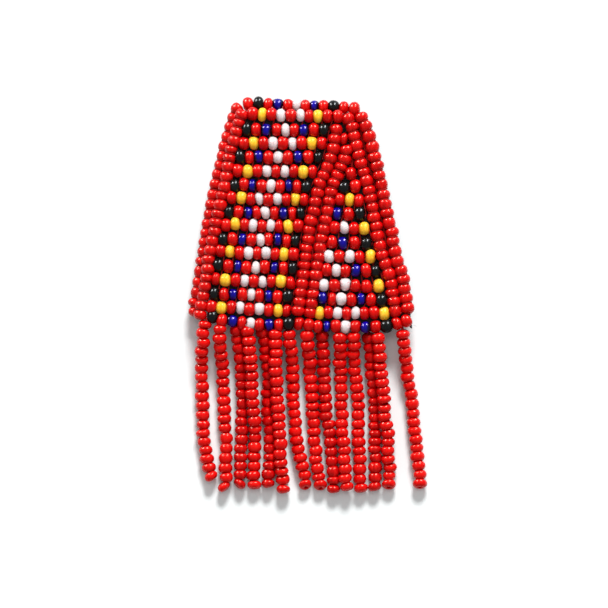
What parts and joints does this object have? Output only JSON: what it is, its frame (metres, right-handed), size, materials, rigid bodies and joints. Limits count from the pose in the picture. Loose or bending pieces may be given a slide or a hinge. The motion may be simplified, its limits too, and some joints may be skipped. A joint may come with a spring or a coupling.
{
  "type": "beaded brooch",
  "caption": "Trapezoid brooch of woven glass seed beads with a bead fringe along its lower edge, on a felt backing with a bar pin.",
  "frame": {"origin": "centre of the bounding box's underside, on the surface that the brooch lies on", "axes": "+Y towards the top of the panel, +Z out of the beaded face, +X to the right as the beaded face is seen with its top up"},
  "size_m": [0.0537, 0.0896, 0.007],
  "materials": {
    "red_glass": "glossy opaque red glass",
    "white_glass": "pearly opaque white glass",
    "yellow_glass": "glossy opaque yellow glass",
    "blue_glass": "glossy opaque royal blue glass",
    "black_glass": "glossy opaque black glass",
    "black_felt": "thin black felt",
    "thread": "twisted dark red thread",
    "pin_steel": "nickel-plated steel, lightly brushed"
  },
  "bodies": {
    "root": {"bar_pin": "pin_steel", "backing": "black_felt", "main_band": "red_glass", "gore_band": "red_glass", "left_outer_string": "red_glass", "left_inner_string": "red_glass", "middle_left_string": "red_glass", "middle_right_string": "red_glass", "right_inner_string": "red_glass", "right_outer_string": "red_glass", "fringe": "red_glass"}
  },
  "joints": []
}
